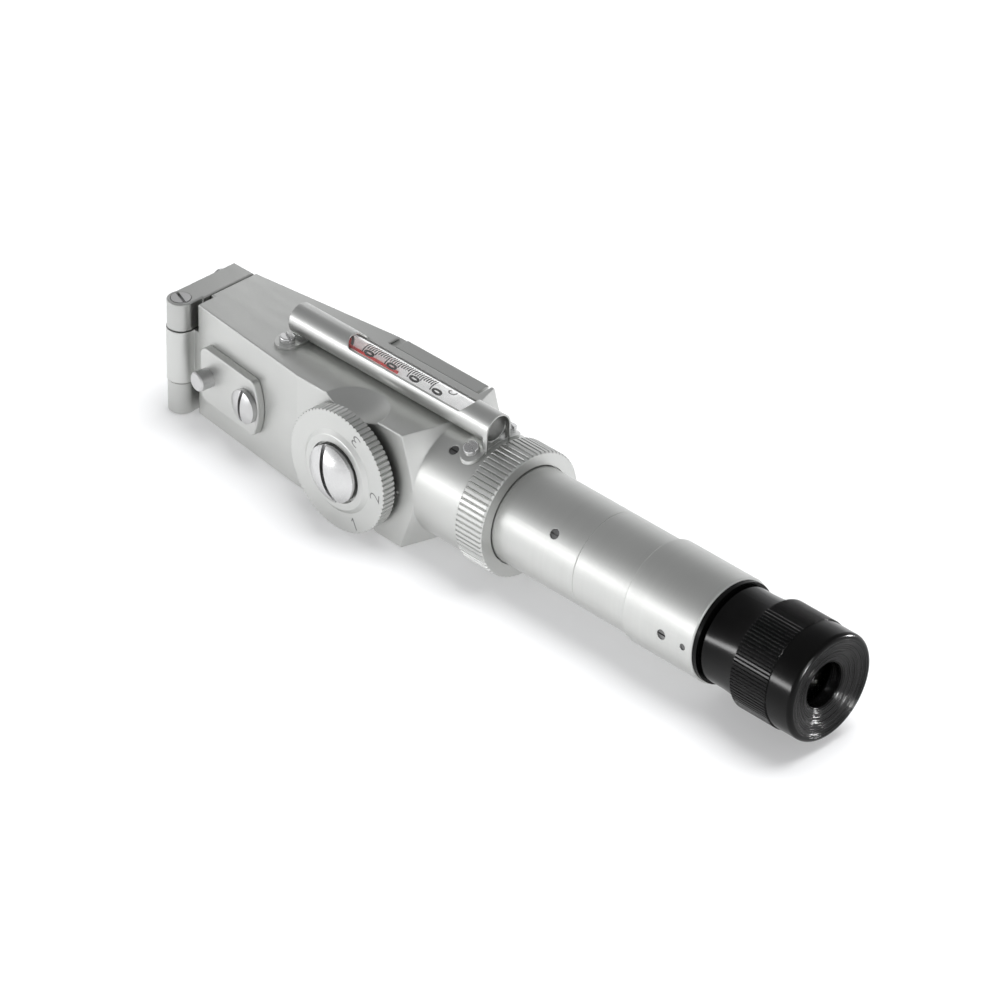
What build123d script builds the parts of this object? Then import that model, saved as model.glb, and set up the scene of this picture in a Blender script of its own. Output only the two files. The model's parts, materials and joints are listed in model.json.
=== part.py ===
# Hand-held analog refractometer with a hinged prism lid, a side range dial,
# an adjusting ring on the barrel, a thermometer on top and a focusing eyepiece.
# Millimetres. The optical axis is the X axis and +X points out of the eyepiece.
# The origin is the centre of the eyepiece rim, +Z is up, the lid is on the +Y side.

from build123d import *
import math
import os

# Stations along the optical axis
shoulder_x = -119.0                    # turned shoulder behind the prism housing
front_x = shoulder_x - 74.0            # front face of the housing beside the hinge
nose_x = shoulder_x - 75.1             # front face behind the lid's bar
fold_x = shoulder_x - 35.2             # where the near side stops tapering
cheek_end_x = shoulder_x - 31.0        # rear end of the thin cheeks over the lid
pocket_end_x = shoulder_x - 0.6        # rear wall of the lid's rebate
neck_end_x = shoulder_x + 18.2
ring_x = neck_end_x + 0.2
ring_end_x = shoulder_x + 26.85
front_tube_x = shoulder_x + 6.0
middle_tube_x = shoulder_x + 52.6
rear_tube_x = shoulder_x + 68.9
rear_tube_end_x = rear_tube_x + 21.3

# Prism housing
half_height = 15.5
half_width = 15.0
front_near_y = -10.8
notch_y = -5.6
front_far_y = 9.05
cheek_far_y = 14.36
cheek_thickness = 0.65
far_y = 14.9
edge_break = 0.25
turned_radius = 22.5                   # concave sweep from the block to the neck
turned_centre_x = shoulder_x + 21.0
turned_centre_r = 29.6
neck_radius = 15.05
shoulder_meet_x = shoulder_x + 3.9
light_bore = 11.0

# Clearances
pin_clearance = 0.05                   # running fit of pins, shafts and slides
lid_gap = 0.2                          # between the lid and its rebate
face_gap = 0.1                         # between faces that turn past each other
cell_clearance = 0.3                   # between turning parts that do not bear

# Lid rebate, in plan
rebate_front_y = 4.6
rebate_rear_y = 10.3
far_slope = (cheek_far_y - front_far_y) / (cheek_end_x - front_x)

# Lid hinge at the near front corner
hinge_x = shoulder_x - 79.1
hinge_y = -11.75
ear_radius = 3.45
knuckle_radius = 3.65
web_far_y = -8.2
knuckle_top = 8.0
knuckle_bottom = -6.8
pin_radius = 1.5
pin_head_radius = 2.42
pin_head_depth = 1.2
pin_head_gap = 0.15
pin_slot = 0.8
pin_slot_depth = 0.9
hinge_gap = 0.25                       # between the knuckles
slot_width = 0.6

# Lid
bar_front_x = shoulder_x - 82.3
bar_rear_x = shoulder_x - 75.4
bar_start_y = -7.8
bar_end_y = 8.45
lid_far_y = 15.0
lid_end_x = shoulder_x - 2.0
lid_half_height = half_height - cheek_thickness - 0.15
lid_step = 0.5                         # lid stands this much outside the cheeks
pad_start_x = shoulder_x - 29.0        # raised pad of the lid behind the cheeks
pad_near_y = 11.0
pad_height = 0.3
glass_front_x = shoulder_x - 70.5
glass_rear_x = shoulder_x - 37.0
glass_thickness = 2.8
glass_half_height = 11.5
window_border = 1.6
stop_screw_y = 4.4
stop_screw_z = 12.6
stop_screw_radius = 2.3
stop_screw_height = 1.5

# Measuring prism in its chamber
prism_front_x = shoulder_x - 71.5
prism_rear_x = shoulder_x - 36.0
prism_near_front_y = -8.2
prism_near_rear_y = -9.2

# Shutter on the tapered near side, measured along that face from the front edge
taper = math.atan2(half_width + front_near_y, fold_x - front_x)
shutter_start = 3.4
shutter_end = 26.4
shutter_middle_z = -0.8
shutter_height = 15.2
shutter_thickness = 2.0
shutter_front_corner = 2.6
shutter_rear_corner = 1.2
shutter_rear_bow = 2.1                 # bulge of the rear end
pivot_along = 22.0
pivot_radius = 2.0
pivot_head_radius = 4.3
pivot_head_edge = 1.2
pivot_head_dome = 1.1
pivot_slot = 0.9
finger_along = 6.8
finger_radius = 2.5
finger_height = 3.7
finger_tail = 1.4
light_along = 10.8
light_radius = 4.6
light_glass = 1.2

# Range dial on the near side
dial_x = shoulder_x - 16.5
dial_face_y = -19.8
dial_rear_y = -16.3
dial_radius = 15.7
dial_ridge_count = 75
ridge_depth = 0.45
dial_hub_radius = 8.0
dial_boss_radius = 10.7
dial_boss_height = 0.8
dial_boss_taper = 54.0
dial_seat_radius = 7.85
dial_seat_depth = 1.5
dial_screw_radius = 7.3
dial_screw_edge_y = -21.8
dial_screw_dome = 2.6
dial_slot = 1.2
dial_slot_depth = 3.2
dial_slot_angle = 108.0
shaft_radius = 2.95
bush_radius = 4.5
bush_end_y = -9.8
carrier_radius = 4.2
carrier_thickness = 1.2
range_prism_width = 8.0
range_prism_height = 9.0
range_prism_end_y = 5.0
scoop_half_chord = 8.8
scoop_depth = 2.8

# Adjusting ring and compensator
tube_radius = 12.275
tube_wall = 1.275
tube_bore = tube_radius - tube_wall
tube_edge = 0.12
ring_wall = 3.625
ring_radius = tube_radius + ring_wall
ring_ridge_count = 72
ring_edge = 0.4
ring_relief = 0.3                      # recess round the tube in the ring's rear face
ring_relief_depth = 1.0
cell_start_x = ring_x - 3.4
cell_end_x = ring_x + 10.6
comp_width = 12.0
comp_start_x = cell_start_x + 2.0
comp_end_x = cell_end_x - 2.0
drive_pin_x = ring_x + 4.1
drive_pin_radius = 1.0
drive_pin_inner = tube_bore - 1.4
drive_pin_outer = ring_radius - 0.9
ring_travel = 60.0

# Barrel behind the ring
spigot_length = 12.0
middle_bore = 9.0
rear_tube_radius = 13.07
rear_tube_wall = 1.47
rear_spigot_radius = rear_tube_radius - rear_tube_wall
rear_spigot_end_x = rear_tube_x + 9.1
seat_bore = middle_bore + 0.8          # reticle seat in the middle tube
reticle_x = rear_spigot_end_x - 6.5
reticle_thickness = 1.5
retainer_length = 1.0
objective_x = shoulder_x + 34.0
objective_thickness = 3.2
objective_bulge = 0.8
objective_ring_bore = tube_bore - 1.2
objective_ring_length = 1.6

# Eyepiece
travel_in = 0.8
travel_out = 1.6
collar_end_x = rear_tube_end_x + 1.1
collar_flange_radius = rear_tube_radius - 0.47
collar_start_x = rear_spigot_end_x + 1.0
sleeve_radius = 10.4
sleeve_bore = sleeve_radius - 0.8
lens_cell_x = collar_start_x - 3.8
lens_cell_end_x = shoulder_x + 115.0
lens_cell_bore = 8.4
lens_flange_x = lens_cell_end_x - 2.2
lens_flange_radius = 11.2
sleeve_end_x = lens_flange_x - travel_in - 2.0
eye_lens_x = lens_cell_end_x - 3.2
eye_lens_thickness = 3.0
eye_lens_bulge = 1.6
cup_x = collar_end_x + travel_in + cell_clearance
cup_neck_radius = collar_flange_radius - 0.65
cup_waist_radius = cup_neck_radius + 0.75
knurl_x = cup_x + 10.1
knurl_end_x = lens_flange_x + 0.2
knurl_radius = 13.6
knurl_ridge_count = 96
knurl_depth = 0.28
rim_radius = knurl_radius - 0.25
rim_round = 1.2
guard_radius = 12.1
guard_x = lens_cell_end_x + cell_clearance
cup_end_x = guard_x + 5.0
dish_depth = 1.7
sight_radius = 5.6
guide_x = collar_start_x + 2.1
guide_radius = 1.0
guide_head_radius = 1.25

# Thermometer
guard_y = -1.17
guard_outer = 3.87
guard_wall = 0.45
guard_z = half_height + guard_outer
guard_start_x = shoulder_x - 48.7
guard_end_x = ring_x - 0.9
window_start_x = shoulder_x - 30.6
window_end_x = shoulder_x + 9.7
window_tilt = 3.0                      # window leans to the near side
window_floor = 2.0                     # its floor lies this far above the tube's middle
window_half_width = 3.6
lug_thickness = 0.8
lug_radius = 3.1
front_lug_x = shoulder_x - 46.8
front_lug_y = -7.2
rear_lug_x = guard_end_x - 3.3
rear_lug_y = -0.5
rear_lug_spread = 5.5
lug_screw_radius = 1.9
lug_screw_shank = 1.0
lug_screw_height = 1.9
lug_screw_depth = neck_radius - tube_radius - 0.775
arch_foot = 1.0                        # the guard's end legs reach this far below the neck's top
glass_outer = 3.2
glass_inner = 2.9
glass_x = guard_start_x + 2.7
glass_end_x = guard_end_x - 4.1
seat_length = 2.0
backing_thickness = 0.35
backing_lean = 46.0                    # open side of the white liner
backing_lip = 0.45                     # its edges pass the tube's middle by this much
backing_x = shoulder_x - 33.0
backing_end_x = shoulder_x + 10.4
column_radius = 0.38
column_end_x = shoulder_x - 17.5
bulb_radius = 1.9
bulb_length = 9.0

# Set screws in the barrel and neck, as angle from +Y towards +Z
neck_screw_x = shoulder_x + 9.6
neck_screw_angle = 120.5
tube_screw_x = shoulder_x + 44.1
tube_screw_angle = 140.9
rear_screw_x = rear_tube_end_x - 2.6
rear_screw_angle = 177.0
screw_sink = 0.25                      # set screw ends lie this far below the surface


def across(x):
    """Plane square to the optical axis at station x."""
    return Plane.YZ.offset(x)


def radial_plane(x, radius, angle):
    """Plane tangent to a cylinder about the optical axis, facing outwards."""
    turn = math.radians(angle)
    out = (0, math.cos(turn), math.sin(turn))
    return Plane(origin=(x, radius * out[1], radius * out[2]), x_dir=(1, 0, 0), z_dir=out)


def ridged_outline(radius, depth, count, first=0.0):
    """Corner points of a straight-knurled circle."""
    points = []
    step = 360.0 / count
    for i in range(count):
        for part, size in ((-0.28, radius), (0.28, radius), (0.5, radius - depth)):
            turn = math.radians(first + (i + part) * step)
            points.append((size * math.cos(turn), size * math.sin(turn)))
    return points


def dome_sphere(rim, bulge):
    """Radius of the sphere through a rim circle with the given bulge."""
    return (rim ** 2 + bulge ** 2) / (2 * bulge)


def cap_drop(rim, bulge, radius):
    """How far a domed lens face has fallen away at a given radius."""
    sphere = dome_sphere(rim, bulge)
    return sphere - math.sqrt(sphere ** 2 - radius ** 2)


def domed_head(base, edge, bulge, radius):
    """Half outline of a domed head: along its axis, and out from it."""
    top = edge + bulge
    Polyline((base, 0), (base, radius), (edge, radius))
    ThreePointArc(
        (edge, radius),
        (top - cap_drop(radius, bulge, radius / 2), radius / 2),
        (top, 0),
    )
    Line((top, 0), (base, 0))


near_face = Plane(
    origin=(front_x, front_near_y, 0),
    x_dir=(math.cos(taper), -math.sin(taper), 0),
    z_dir=(-math.sin(taper), -math.cos(taper), 0),
)
near_axis = Axis((0, 0, 0), (-math.sin(taper), -math.cos(taper), 0))
near_side = Plane.XZ.offset(half_width)
pivot_spot = (pivot_along, shutter_middle_z)
scoop_radius = dome_sphere(scoop_half_chord, scoop_depth)
scoop_z = half_height + scoop_radius - scoop_depth


def rebate_y(x):
    """Floor of the lid rebate beside the measuring prism."""
    return rebate_front_y + far_slope * (x - front_x)


def lid_outer_y(x):
    """Outer face of the lid beside the cheeks."""
    return front_far_y + lid_step + far_slope * (x - front_x)


# Prism housing: tapered block, turned shoulder and neck
with BuildPart() as prism_housing:
    with BuildSketch(Plane.XY.offset(-half_height)):
        with BuildLine():
            Polyline(
                (front_x, front_near_y),
                (fold_x, -half_width),
                (shoulder_x + 6, -half_width),
                (shoulder_x + 6, far_y),
                (cheek_end_x, far_y),
                (cheek_end_x, cheek_far_y),
                (nose_x, front_far_y + far_slope * (nose_x - front_x)),
                (nose_x, notch_y),
                (front_x, notch_y),
                close=True,
            )
        make_face()
    extrude(amount=2 * half_height)
    long_edges = prism_housing.edges().filter_by(Plane.XY).filter_by(
        lambda edge: edge.center().X < shoulder_x + 5
    )
    chamfer(long_edges, edge_break)
    with BuildSketch(Plane.XZ):
        with BuildLine():
            sweep_top = (turned_centre_x - turned_radius, turned_centre_r)
            Polyline(
                (shoulder_meet_x, neck_radius),
                (shoulder_meet_x, 0),
                (front_x - 5, 0),
                (front_x - 5, turned_centre_r),
                sweep_top,
            )
            middle = math.radians(200.0)
            ThreePointArc(
                sweep_top,
                (
                    turned_centre_x + turned_radius * math.cos(middle),
                    turned_centre_r + turned_radius * math.sin(middle),
                ),
                (shoulder_meet_x, neck_radius),
            )
        make_face()
    revolve(axis=Axis.X, mode=Mode.INTERSECT)
    with BuildSketch(across(shoulder_x - 2)):
        Circle(neck_radius)
    extrude(amount=neck_end_x - shoulder_x + 2)
    # rebate for the lid: under the cheeks in front, through the block behind them
    with BuildSketch(Plane.XY.offset(-half_height + cheek_thickness)):
        with BuildLine():
            Polyline(
                (front_x - 2, rebate_y(front_x - 2)),
                (cheek_end_x, rebate_y(cheek_end_x)),
                (cheek_end_x, half_width + 5),
                (front_x - 2, half_width + 5),
                close=True,
            )
        make_face()
    extrude(amount=2 * (half_height - cheek_thickness), mode=Mode.SUBTRACT)
    with BuildSketch(Plane.XY.offset(-half_height - 1)):
        with Locations(((cheek_end_x + pocket_end_x) / 2, rebate_rear_y + 5)):
            Rectangle(pocket_end_x - cheek_end_x, 10)
    extrude(amount=2 * half_height + 2, mode=Mode.SUBTRACT)
    # chamber of the measuring prism, open towards the lid
    with BuildSketch(Plane.XY.offset(-glass_half_height)):
        with BuildLine():
            Polyline(
                (prism_front_x, prism_near_front_y),
                (prism_rear_x, prism_near_rear_y),
                (prism_rear_x, half_width),
                (prism_front_x, half_width),
                close=True,
            )
        make_face()
    extrude(amount=2 * glass_half_height, mode=Mode.SUBTRACT)
    # light path and seat of the front tube
    with BuildSketch(across(prism_rear_x)):
        Circle(light_bore)
    extrude(amount=neck_end_x - prism_rear_x, mode=Mode.SUBTRACT)
    with BuildSketch(across(front_tube_x)):
        Circle(tube_radius)
    extrude(amount=neck_end_x - front_tube_x, mode=Mode.SUBTRACT)
    # finger scoops above and below the dial
    with Locations((dial_x, -half_width, scoop_z), (dial_x, -half_width, -scoop_z)):
        Sphere(scoop_radius, mode=Mode.SUBTRACT)
    # middle knuckle of the lid hinge and its web
    with BuildSketch(Plane.XY.offset(knuckle_bottom + hinge_gap)):
        with Locations((hinge_x, hinge_y)):
            Circle(knuckle_radius)
        with Locations(((hinge_x + front_x + 1) / 2, (front_near_y + web_far_y) / 2)):
            Rectangle(front_x + 1 - hinge_x, web_far_y - front_near_y)
    extrude(amount=knuckle_top - knuckle_bottom - 2 * hinge_gap)
    with BuildSketch(Plane.XY.offset(-half_height)):
        with Locations((hinge_x, hinge_y)):
            Circle(pin_radius)
    extrude(amount=2 * half_height, mode=Mode.SUBTRACT)
    # light window, shutter pivot and dial bush on the near side
    with BuildSketch(near_face):
        with Locations((light_along, shutter_middle_z)):
            Circle(light_radius)
    extrude(amount=-3.6, mode=Mode.SUBTRACT)
    with BuildSketch(near_face):
        with Locations(pivot_spot):
            Circle(pivot_radius)
    extrude(amount=-2.6, mode=Mode.SUBTRACT)
    with BuildSketch(near_side):
        with Locations((dial_x, 0)):
            Circle(bush_radius)
    extrude(amount=-8, mode=Mode.SUBTRACT)
    # index dot beside the dial
    with BuildSketch(near_side):
        with Locations((shoulder_x - 0.9, -0.7)):
            Circle(0.4)
    extrude(amount=-0.3, mode=Mode.SUBTRACT)
    # threaded holes of the thermometer screws and the neck screw
    with BuildSketch(Plane.XY.offset(half_height)):
        with Locations((front_lug_x, front_lug_y)):
            Circle(lug_screw_shank)
    extrude(amount=-lug_screw_depth, mode=Mode.SUBTRACT)
    for side in (-1, 1):
        lug_angle = math.degrees(math.acos((rear_lug_y + side * rear_lug_spread) / neck_radius))
        with BuildSketch(radial_plane(rear_lug_x, neck_radius, lug_angle)):
            Circle(lug_screw_shank)
        extrude(amount=-lug_screw_depth, mode=Mode.SUBTRACT)
    with BuildSketch(radial_plane(neck_screw_x, neck_radius + 1, neck_screw_angle)):
        Circle(guide_head_radius)
    extrude(amount=-1.3 - (neck_radius - tube_radius), mode=Mode.SUBTRACT)

# Measuring prism: fills its chamber, measuring face towards the lid
with BuildPart() as measuring_prism:
    with BuildSketch(Plane.XY.offset(-glass_half_height)):
        with BuildLine():
            Polyline(
                (prism_front_x, prism_near_front_y),
                (prism_rear_x, prism_near_rear_y),
                (prism_rear_x, rebate_y(prism_rear_x)),
                (prism_front_x, rebate_y(prism_front_x)),
                close=True,
            )
        make_face()
    extrude(amount=2 * glass_half_height)

# Window glass behind the shutter
with BuildPart() as light_window:
    with BuildSketch(near_face.offset(-0.5 - light_glass)):
        with Locations((light_along, shutter_middle_z)):
            Circle(light_radius)
    extrude(amount=light_glass)

# Hinge pin, held in the middle knuckle, slotted head sunk in the top ear
with BuildPart() as hinge_pin:
    with BuildSketch(Plane.XY.offset(-half_height)):
        with Locations((hinge_x, hinge_y)):
            Circle(pin_radius)
    extrude(amount=2 * half_height - pin_head_depth)
    with BuildSketch(Plane.XY.offset(half_height - pin_head_depth + face_gap)):
        with Locations((hinge_x, hinge_y)):
            Circle(pin_head_radius)
    extrude(amount=pin_head_depth)
    with BuildSketch(Plane.XY.offset(half_height - pin_head_depth)):
        with Locations((hinge_x, hinge_y)):
            Circle(pin_radius)
    extrude(amount=face_gap)
    with BuildSketch(Plane.XY.offset(half_height + face_gap)):
        with Locations(Location((hinge_x, hinge_y, 0), (0, 0, -20))):
            Rectangle(3 * pin_head_radius, pin_slot)
    extrude(amount=-pin_slot_depth, mode=Mode.SUBTRACT)

# Lid frame: front bar with two ears, and the far side plate with its glass window
with BuildPart() as lid_frame:
    with BuildSketch(Plane.XY.offset(-half_height)):
        with Locations(((bar_front_x + bar_rear_x) / 2, (bar_start_y + bar_end_y) / 2)):
            Rectangle(bar_rear_x - bar_front_x, bar_end_y - bar_start_y)
    extrude(amount=2 * half_height)
    ear_heights = ((-half_height, knuckle_bottom), (knuckle_top, half_height))
    ear_rear_x = hinge_x + ear_radius - 0.15
    for bottom, top in ear_heights:
        with BuildSketch(Plane.XY.offset(bottom)):
            with Locations((hinge_x, hinge_y)):
                Circle(ear_radius)
            with Locations(((bar_front_x + ear_rear_x) / 2, (hinge_y + bar_start_y) / 2)):
                Rectangle(ear_rear_x - bar_front_x, bar_start_y - hinge_y + 0.2)
        extrude(amount=top - bottom)
    plate_near_y = rebate_y(front_x) + lid_gap
    with BuildSketch(Plane.XY.offset(-lid_half_height)):
        with BuildLine():
            Polyline(
                (hinge_x, plate_near_y),
                (front_x, plate_near_y),
                (cheek_end_x - 2.0, rebate_y(cheek_end_x - 2.0) + lid_gap),
                (cheek_end_x, rebate_rear_y + lid_gap),
                (lid_end_x, rebate_rear_y + lid_gap),
                (lid_end_x, lid_far_y),
                (cheek_end_x, lid_far_y),
                (front_x, lid_outer_y(front_x)),
                (bar_rear_x, bar_end_y),
                (hinge_x, bar_end_y),
                close=True,
            )
        make_face()
    extrude(amount=2 * lid_half_height)
    for side in (-1, 1):
        with BuildSketch(Plane.XY.offset(side * lid_half_height)):
            with Locations(((pad_start_x + lid_end_x) / 2, (pad_near_y + lid_far_y) / 2)):
                Rectangle(lid_end_x - pad_start_x, lid_far_y - pad_near_y)
        extrude(amount=side * pad_height)
    for level in (half_height, -half_height):
        chamfer(
            lid_frame.edges().filter_by(Plane.XY).filter_by_position(
                Axis.Z, level - 0.01, level + 0.01
            ),
            edge_break,
        )
    # seat of the illuminating prism and the daylight window behind it
    with BuildSketch(Plane.XY.offset(-glass_half_height)):
        with BuildLine():
            Polyline(
                (glass_front_x, rebate_y(glass_front_x) - 1),
                (glass_rear_x, rebate_y(glass_rear_x) - 1),
                (glass_rear_x, rebate_y(glass_rear_x) + lid_gap + glass_thickness),
                (glass_front_x, rebate_y(glass_front_x) + lid_gap + glass_thickness),
                close=True,
            )
        make_face()
    extrude(amount=2 * glass_half_height, mode=Mode.SUBTRACT)
    with BuildSketch(Plane.XZ.offset(-half_width - 2)):
        with Locations(((glass_front_x + glass_rear_x) / 2, 0)):
            RectangleRounded(
                glass_rear_x - glass_front_x - 2 * window_border,
                2 * (glass_half_height - window_border),
                2.0,
            )
    extrude(amount=half_width - rebate_front_y + 1, mode=Mode.SUBTRACT)
    # bores of the ears, a counterbore for the pin head, and the stop screw's hole
    with BuildSketch(Plane.XY.offset(-half_height)):
        with Locations((hinge_x, hinge_y)):
            Circle(pin_radius + pin_clearance)
    extrude(amount=2 * half_height, mode=Mode.SUBTRACT)
    with BuildSketch(Plane.XY.offset(half_height)):
        with Locations((hinge_x, hinge_y)):
            Circle(pin_head_radius + pin_head_gap)
    extrude(amount=-pin_head_depth, mode=Mode.SUBTRACT)
    with BuildSketch(Plane.YZ.offset(bar_front_x)):
        with Locations((stop_screw_y, stop_screw_z)):
            Circle(1.2)
    extrude(amount=4, mode=Mode.SUBTRACT)

# Illuminating prism set in the lid
with BuildPart() as illuminating_prism:
    with BuildSketch(Plane.XY.offset(-glass_half_height)):
        with BuildLine():
            Polyline(
                (glass_front_x, rebate_y(glass_front_x) + lid_gap),
                (glass_rear_x, rebate_y(glass_rear_x) + lid_gap),
                (glass_rear_x, rebate_y(glass_rear_x) + lid_gap + glass_thickness),
                (glass_front_x, rebate_y(glass_front_x) + lid_gap + glass_thickness),
                close=True,
            )
        make_face()
    extrude(amount=2 * glass_half_height)

# Round headed screw on the front of the lid
with BuildPart() as lid_stop_screw:
    with BuildSketch(Plane.YZ.offset(bar_front_x - stop_screw_height)):
        with Locations((stop_screw_y, stop_screw_z)):
            Circle(stop_screw_radius)
    extrude(amount=stop_screw_height)
    fillet(lid_stop_screw.faces().sort_by(Axis.X)[0].edges(), 0.6)
    with BuildSketch(Plane.YZ.offset(bar_front_x)):
        with Locations((stop_screw_y, stop_screw_z)):
            Circle(1.2)
    extrude(amount=4)
    with BuildSketch(Plane.YZ.offset(bar_front_x - stop_screw_height)):
        with Locations((stop_screw_y, stop_screw_z)):
            Rectangle(3 * stop_screw_radius, slot_width)
    extrude(amount=0.7, mode=Mode.SUBTRACT)

# Shutter plate with its pivot hole, and the finger pin riveted into it
with BuildPart() as shutter_plate:
    plate_top = shutter_middle_z + shutter_height / 2
    plate_bottom = shutter_middle_z - shutter_height / 2
    bow_start = shutter_end - shutter_rear_bow
    with BuildSketch(near_face.offset(face_gap)) as plate_outline:
        with BuildLine():
            Polyline(
                (bow_start, plate_top),
                (shutter_start, plate_top),
                (shutter_start, plate_bottom),
                (bow_start, plate_bottom),
            )
            ThreePointArc(
                (bow_start, plate_bottom),
                (shutter_end, shutter_middle_z),
                (bow_start, plate_top),
            )
        make_face()
        fillet(plate_outline.vertices().group_by(Axis.X)[0], shutter_front_corner)
        fillet(plate_outline.vertices().group_by(Axis.X)[-1], shutter_rear_corner)
    extrude(amount=shutter_thickness)
    chamfer(shutter_plate.faces().sort_by(near_axis)[-1].edges(), edge_break)
    with BuildSketch(near_face.offset(face_gap)):
        with Locations(pivot_spot):
            Circle(pivot_radius + pin_clearance)
        with Locations((finger_along, shutter_middle_z)):
            Circle(finger_tail)
    extrude(amount=shutter_thickness, mode=Mode.SUBTRACT)

with BuildPart() as shutter_pin:
    with BuildSketch(near_face.offset(face_gap + shutter_thickness)):
        with Locations((finger_along, shutter_middle_z)):
            Circle(finger_radius)
    extrude(amount=finger_height)
    chamfer(shutter_pin.faces().sort_by(near_axis)[-1].edges(), 0.35)
    with BuildSketch(near_face.offset(face_gap)):
        with Locations((finger_along, shutter_middle_z)):
            Circle(finger_tail)
    extrude(amount=shutter_thickness)

# Domed pivot screw of the shutter
pivot_seat = shutter_thickness + 2 * face_gap
pivot_top = pivot_seat + pivot_head_edge + pivot_head_dome
pivot_origin = near_face.from_local_coords((pivot_along, shutter_middle_z, 0))
with BuildPart() as shutter_screw:
    with BuildSketch(Plane(origin=pivot_origin, x_dir=near_face.z_dir, z_dir=(0, 0, 1))):
        with BuildLine():
            domed_head(pivot_seat, pivot_seat + pivot_head_edge, pivot_head_dome, pivot_head_radius)
        make_face()
    revolve(axis=Axis(pivot_origin, near_face.z_dir))
    with BuildSketch(near_face.offset(-2.6)):
        with Locations(pivot_spot):
            Circle(pivot_radius)
    extrude(amount=2.6 + pivot_seat)
    with BuildSketch(near_face.offset(pivot_top)):
        with Locations(pivot_spot):
            Rectangle(pivot_slot, 3 * pivot_head_radius)
    extrude(amount=-pivot_head_dome - 0.5, mode=Mode.SUBTRACT)

# Bush of the dial shaft, in the near wall
with BuildPart() as knob_bush:
    with BuildSketch(near_side):
        with Locations((dial_x, 0)):
            Circle(bush_radius)
            Circle(shaft_radius + pin_clearance, mode=Mode.SUBTRACT)
    extrude(amount=-half_width - bush_end_y)

# Range dial with knurled rim, a raised boss and a hub towards the housing
dial_boss_y = dial_face_y - dial_boss_height
dial_screw_base_y = dial_boss_y + dial_seat_depth
with BuildPart() as range_dial:
    with BuildSketch(Plane.XZ.offset(-dial_rear_y)):
        with Locations((dial_x, 0)):
            Polygon(*ridged_outline(dial_radius, ridge_depth, dial_ridge_count), align=None)
    extrude(amount=dial_rear_y - dial_face_y)
    with BuildSketch(Plane.XZ.offset(half_width + face_gap)):
        with Locations((dial_x, 0)):
            Circle(dial_hub_radius)
    extrude(amount=-dial_rear_y - half_width - face_gap)
    with BuildSketch(Plane.XZ.offset(-dial_face_y)):
        with Locations((dial_x, 0)):
            Circle(dial_boss_radius)
    extrude(amount=dial_boss_height, taper=dial_boss_taper)
    fillet(range_dial.faces().sort_by(Axis.Y)[0].edges(), 0.4)
    with BuildSketch(Plane.XZ.offset(-dial_boss_y)):
        with Locations((dial_x, 0)):
            Circle(dial_seat_radius)
    extrude(amount=-dial_seat_depth, mode=Mode.SUBTRACT)
    with BuildSketch(Plane.XZ.offset(half_width)):
        with Locations((dial_x, 0)):
            Circle(shaft_radius)
    extrude(amount=-dial_face_y - half_width, mode=Mode.SUBTRACT)

# Shaft of the dial with the carrier of the range prism
with BuildPart() as range_shaft:
    with BuildSketch(Plane.XZ.offset(-bush_end_y - face_gap)):
        with Locations((dial_x, 0)):
            Circle(shaft_radius)
    extrude(amount=-dial_screw_base_y + bush_end_y + face_gap)
    with BuildSketch(Plane.XZ.offset(-bush_end_y - face_gap)):
        with Locations((dial_x, 0)):
            Circle(carrier_radius)
    extrude(amount=-carrier_thickness)

carrier_end_y = bush_end_y + face_gap + carrier_thickness
with BuildPart() as range_prism:
    with BuildSketch(Plane.XZ.offset(-carrier_end_y)):
        with Locations((dial_x, 0)):
            Rectangle(range_prism_width, range_prism_height)
    extrude(amount=carrier_end_y - range_prism_end_y)

# Domed centre screw of the dial
with BuildPart() as dial_screw:
    with BuildSketch(Plane(origin=(dial_x, 0, 0), x_dir=(0, -1, 0), z_dir=(1, 0, 0))):
        with BuildLine():
            domed_head(-dial_screw_base_y, -dial_screw_edge_y, dial_screw_dome, dial_screw_radius)
        make_face()
    revolve(axis=Axis((dial_x, 0, 0), (0, -1, 0)))
    with BuildSketch(Plane.XZ.offset(dial_screw_dome - dial_screw_edge_y)):
        with Locations(Location((dial_x, 0, 0), (0, 0, dial_slot_angle))):
            Rectangle(3 * dial_screw_radius, dial_slot)
    extrude(amount=-dial_slot_depth, mode=Mode.SUBTRACT)

# Front tube: carries the ring, slotted for the drive pin, holds the objective
with BuildPart() as front_tube:
    with BuildSketch(across(front_tube_x)):
        Circle(tube_radius)
        Circle(tube_bore, mode=Mode.SUBTRACT)
    extrude(amount=middle_tube_x - front_tube_x)
    chamfer(front_tube.faces().sort_by(Axis.X)[-1].outer_wire().edges(), tube_edge)
    slot_reach = ring_travel + math.degrees(1.35 * drive_pin_radius / tube_bore)
    with BuildSketch(Plane.XZ):
        with Locations((drive_pin_x, -tube_radius)):
            Rectangle(2 * drive_pin_radius + 0.6, 2 * (tube_radius - tube_bore) + 1)
    revolve(axis=Axis.X, revolution_arc=slot_reach, mode=Mode.SUBTRACT)
    with BuildSketch(Plane.XZ):
        with Locations((drive_pin_x, -tube_radius)):
            Rectangle(2 * drive_pin_radius + 0.6, 2 * (tube_radius - tube_bore) + 1)
    revolve(axis=Axis.X, revolution_arc=-slot_reach, mode=Mode.SUBTRACT)
    with BuildSketch(radial_plane(tube_screw_x, tube_radius + 1, tube_screw_angle)):
        Circle(guide_head_radius)
    extrude(amount=-1.3 - (tube_radius - tube_bore), mode=Mode.SUBTRACT)

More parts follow.
